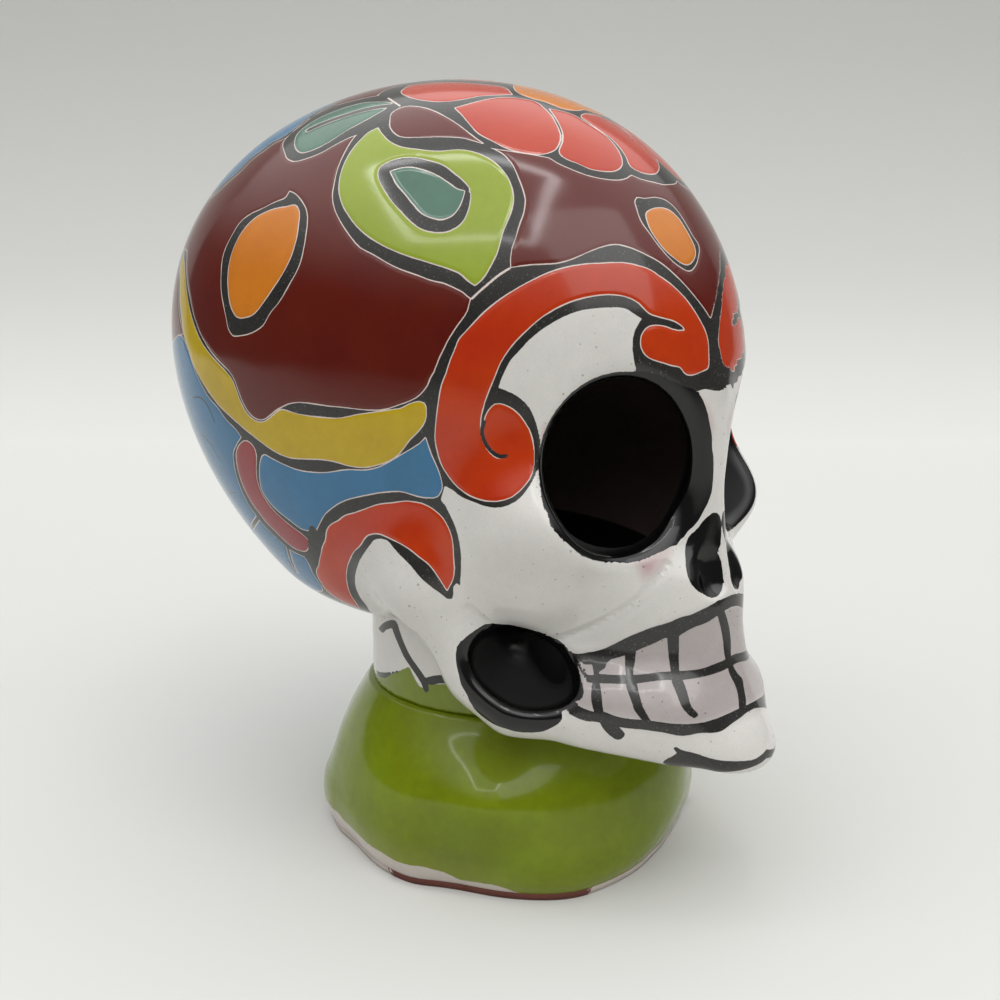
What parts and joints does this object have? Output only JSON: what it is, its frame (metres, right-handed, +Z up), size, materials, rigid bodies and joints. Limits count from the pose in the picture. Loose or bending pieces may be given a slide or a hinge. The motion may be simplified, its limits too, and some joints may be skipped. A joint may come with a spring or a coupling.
{
  "type": "sugar skull",
  "caption": "Hollow glazed earthenware sugar skull with pierced eye and cheek openings, painted teeth and an open bell-shaped base",
  "frame": {"origin": "under the middle of the whole object, on the plane that the foot stands on", "axes": "+Z up, -Y the way the face looks, +X the skull's left side; the two sides mirror each other across the YZ plane"},
  "size_m": [0.155, 0.2094, 0.2286],
  "materials": {
    "painted_cranium_glaze": "gloss",
    "white_face_glaze": "gloss",
    "white_jaw_glaze": "gloss",
    "tooth_glaze": "gloss",
    "neck_glaze": "gloss",
    "lime_glaze": "gloss",
    "bare_clay": "matte"
  },
  "bodies": {
    "root": {"rear_cranium_shell": "painted_cranium_glaze", "face_shell": "white_face_glaze", "mandible": "white_jaw_glaze", "upper_teeth": "tooth_glaze", "lower_teeth": "tooth_glaze", "neck_column": "neck_glaze", "base_bell": "lime_glaze", "foot_rim": "bare_clay"}
  },
  "joints": []
}
